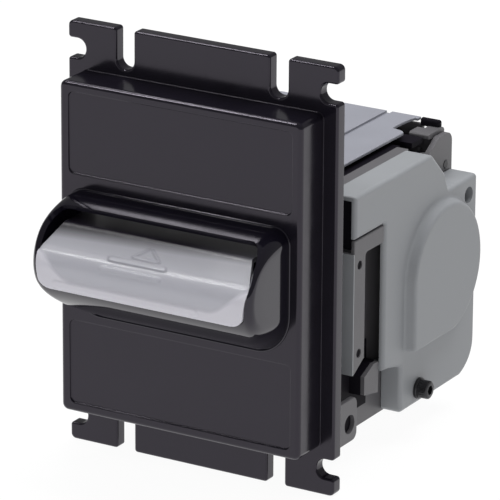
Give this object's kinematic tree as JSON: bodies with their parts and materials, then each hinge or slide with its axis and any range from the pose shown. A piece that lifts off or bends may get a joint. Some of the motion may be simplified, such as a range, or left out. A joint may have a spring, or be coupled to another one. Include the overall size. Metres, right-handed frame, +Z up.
{
  "type": "bill validator",
  "caption": "Door-mounted banknote validator with a snout-shaped bezel, a slotted mounting flange, a hinged sensor head and a roller drive behind it.",
  "frame": {"origin": "centre of the mounting flange's front face, on the plane of the cabinet door", "axes": "+X to the right seen from the customer's side, +Y into the machine, +Z up"},
  "size_m": [0.1142, 0.1538, 0.161],
  "materials": {
    "black_plastic": "satin moulded",
    "gloss_black": "high gloss",
    "clear_grey": "frosted translucent",
    "cool_grey_plastic": "fine texture",
    "light_grey_plastic": "fine texture",
    "dark_grey_plastic": "fine texture",
    "white_plastic": "acetal, as moulded",
    "connector_plastic": "as moulded",
    "circuit_board": "solder resist",
    "roller_rubber": "ground",
    "black_screw": "black oxide",
    "steel": "ground",
    "zinc_steel": "zinc plated",
    "brass": "turned"
  },
  "bodies": {
    "chassis": {"front_bezel": "black_plastic", "note_snout": "gloss_black", "note_tray": "clear_grey", "led_board": "circuit_board", "chassis_side_left": "dark_grey_plastic", "chassis_side_right": "dark_grey_plastic", "mounting_post_left": "dark_grey_plastic", "mounting_post_right": "dark_grey_plastic", "flange_lug_left": "dark_grey_plastic", "flange_lug_right": "dark_grey_plastic", "side_cover_left": "cool_grey_plastic", "side_cover_right": "cool_grey_plastic", "side_cover_left_screw_low": "black_screw", "side_cover_left_screw_high": "black_screw", "side_cover_right_screw_low": "black_screw", "side_cover_right_screw_high": "black_screw", "lower_guide": "black_plastic", "note_sensor_lens": "gloss_black", "rear_guide": "black_plastic", "inner_guide": "black_plastic", "rear_cover": "dark_grey_plastic", "harness_socket": "connector_plastic", "base_plate": "dark_grey_plastic", "main_board": "circuit_board", "drive_belt": "roller_rubber", "idler_stud": "steel", "drive_motor": "zinc_steel", "drum_bush_left": "brass", "drum_bush_right": "brass", "front_bush_left": "brass", "front_bush_right": "brass", "gate_bracket_left": "black_plastic", "gate_bracket_right": "black_plastic", "head_hinge_pin": "steel", "release_lever_pin": "black_screw", "latch_spring": "steel"},
    "head": {"head_frame": "black_plastic", "head_sensor_board": "circuit_board", "top_cover": "light_grey_plastic", "top_cover_screw_1": "black_screw", "top_cover_screw_2": "black_screw"},
    "pinch_left": {"pinch_roller_left": "roller_rubber"},
    "pinch_right": {"pinch_roller_right": "roller_rubber"},
    "drum": {"rear_drum": "white_plastic", "drum_tyre_left": "roller_rubber", "drum_tyre_right": "roller_rubber", "drum_pulley": "white_plastic", "drum_gear": "white_plastic"},
    "front_rollers": {"front_roller_shaft": "steel", "front_roller_left": "roller_rubber", "front_roller_right": "roller_rubber", "front_pulley": "white_plastic"},
    "idler": {"idler_gear": "white_plastic"},
    "motor_rotor": {"motor_shaft": "steel", "motor_pinion": "brass", "encoder_wheel": "black_plastic"},
    "gate": {"pullback_gate": "white_plastic"},
    "latch": {"release_lever": "dark_grey_plastic"}
  },
  "joints": [
    {"name": "head_hinge", "type": "hinge", "parent": "chassis", "child": "head", "pos_m": [0, 0.0115, 0.0228], "axis": [1, 0, 0], "range_deg": [0, 55]},
    {"name": "latch_hinge", "type": "hinge", "parent": "chassis", "child": "latch", "pos_m": [0.0356, 0.1086, 0.012], "axis": [1, 0, 0], "range_deg": [-10, 0], "stiffness_Nm_per_rad": 0.02, "springref_deg": 17.19},
    {"name": "gate_hinge", "type": "hinge", "parent": "chassis", "child": "gate", "pos_m": [0, 0.061, 0.0093], "axis": [1, 0, 0], "range_deg": [-55, 0], "stiffness_Nm_per_rad": 0.0005, "springref_deg": 22.92},
    {"name": "drum_spin", "type": "hinge", "parent": "chassis", "child": "drum", "pos_m": [0, 0.0845, 0.002], "axis": [1, 0, 0], "continuous": true},
    {"name": "front_roller_spin", "type": "hinge", "parent": "chassis", "child": "front_rollers", "pos_m": [0, 0.032, 0.0085], "axis": [1, 0, 0], "continuous": true},
    {"name": "idler_spin", "type": "hinge", "parent": "chassis", "child": "idler", "pos_m": [0.0467, 0.0845, -0.0195], "axis": [1, 0, 0], "continuous": true},
    {"name": "motor_spin", "type": "hinge", "parent": "chassis", "child": "motor_rotor", "pos_m": [0.0467, 0.06718, -0.0295], "axis": [1, 0, 0], "continuous": true},
    {"name": "pinch_left_spin", "type": "hinge", "parent": "head", "child": "pinch_left", "pos_m": [-0.024, 0.032, 0.022], "axis": [1, 0, 0], "continuous": true},
    {"name": "pinch_right_spin", "type": "hinge", "parent": "head", "child": "pinch_right", "pos_m": [0.024, 0.032, 0.022], "axis": [1, 0, 0], "continuous": true}
  ],
  "couplings": [
    {"joint": "front_roller_spin", "follows": "drum_spin", "ratio": 1.4},
    {"joint": "idler_spin", "follows": "drum_spin", "ratio": -0.43333},
    {"joint": "motor_spin", "follows": "drum_spin", "ratio": 1.3},
    {"joint": "pinch_left_spin", "follows": "drum_spin", "ratio": -4.375},
    {"joint": "pinch_right_spin", "follows": "drum_spin", "ratio": -4.375}
  ]
}
